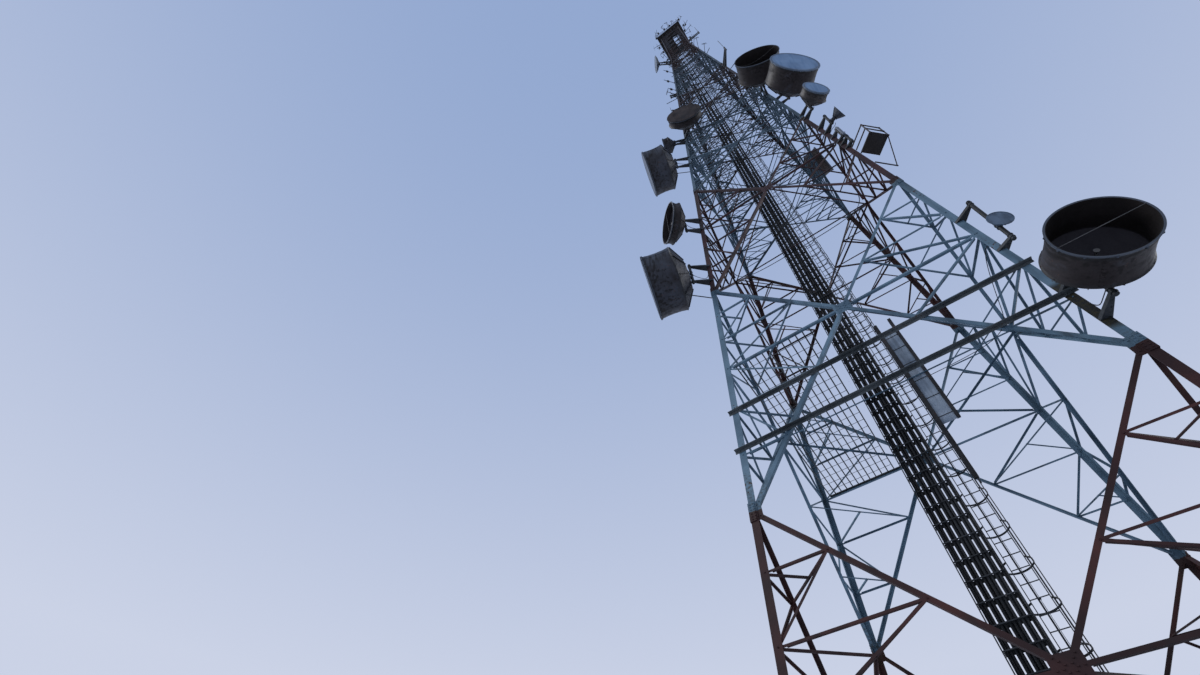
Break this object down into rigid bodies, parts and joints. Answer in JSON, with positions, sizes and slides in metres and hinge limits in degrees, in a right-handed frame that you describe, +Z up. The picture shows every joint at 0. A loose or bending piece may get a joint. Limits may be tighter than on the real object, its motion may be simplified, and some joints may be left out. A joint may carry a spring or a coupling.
{
  "type": "lattice telecom tower, 1:10 scale model",
  "caption": "Four-legged angle-steel lattice tower, red and white bands, with cable ladder, caged climbing ladder, platforms and microwave drums. Scale model at 1:10.",
  "frame": {"origin": "middle of the underside of the front left foot plate", "axes": "+Z up, +X along the front side to the front right leg, +Y to the back"},
  "size_m": [1.2034, 1.1454, 9.3636],
  "materials": {
    "banded_paint": "weathered aviation paint, red and white bands",
    "galvanised": "dull galvanised steel",
    "cable_jacket": "matt black jacket",
    "drum_paint": "weathered grey paint",
    "radome_skin": "pale blue cover",
    "radome_grey": "grey cover",
    "panel_paint": "pale paint"
  },
  "bodies": {
    "root": {"leg_front_left": "banded_paint", "leg_front_right": "banded_paint", "leg_back_left": "banded_paint", "leg_back_right": "banded_paint", "bracing_lower_front": "banded_paint", "bracing_lower_right": "banded_paint", "bracing_lower_back": "banded_paint", "bracing_lower_left": "banded_paint", "bracing_middle_front": "banded_paint", "bracing_middle_right": "banded_paint", "bracing_middle_back": "banded_paint", "bracing_middle_left": "banded_paint", "bracing_upper_front": "banded_paint", "bracing_upper_right": "banded_paint", "bracing_upper_back": "banded_paint", "bracing_upper_left": "banded_paint", "head_frame": "banded_paint", "plan_bracing": "galvanised", "mount_beams": "galvanised", "cable_ladder": "galvanised", "feeder_cables": "cable_jacket", "climbing_ladder": "galvanised", "safety_cage": "galvanised", "inner_platforms": "galvanised", "head_platform": "galvanised", "head_rods": "galvanised", "guard_panel": "panel_paint", "drum_right_low": "drum_paint", "drum_right_top": "drum_paint", "drum_right_blue": "drum_paint", "radome_right_blue": "radome_skin", "drum_right_small": "drum_paint", "radome_right_small": "radome_skin", "drum_left_low": "drum_paint", "radome_left_low": "radome_grey", "drum_left_high": "drum_paint", "radome_left_high": "radome_grey", "drum_left_small": "drum_paint", "drum_front": "drum_paint", "drum_back": "drum_paint", "radome_back": "radome_grey", "dish_left": "drum_paint", "dish_right_small": "drum_paint", "dish_head": "drum_paint", "box_antenna": "galvanised", "horn_right": "drum_paint", "panel_right": "panel_paint", "mounts_right": "galvanised", "mounts_left": "galvanised"}
  },
  "joints": []
}
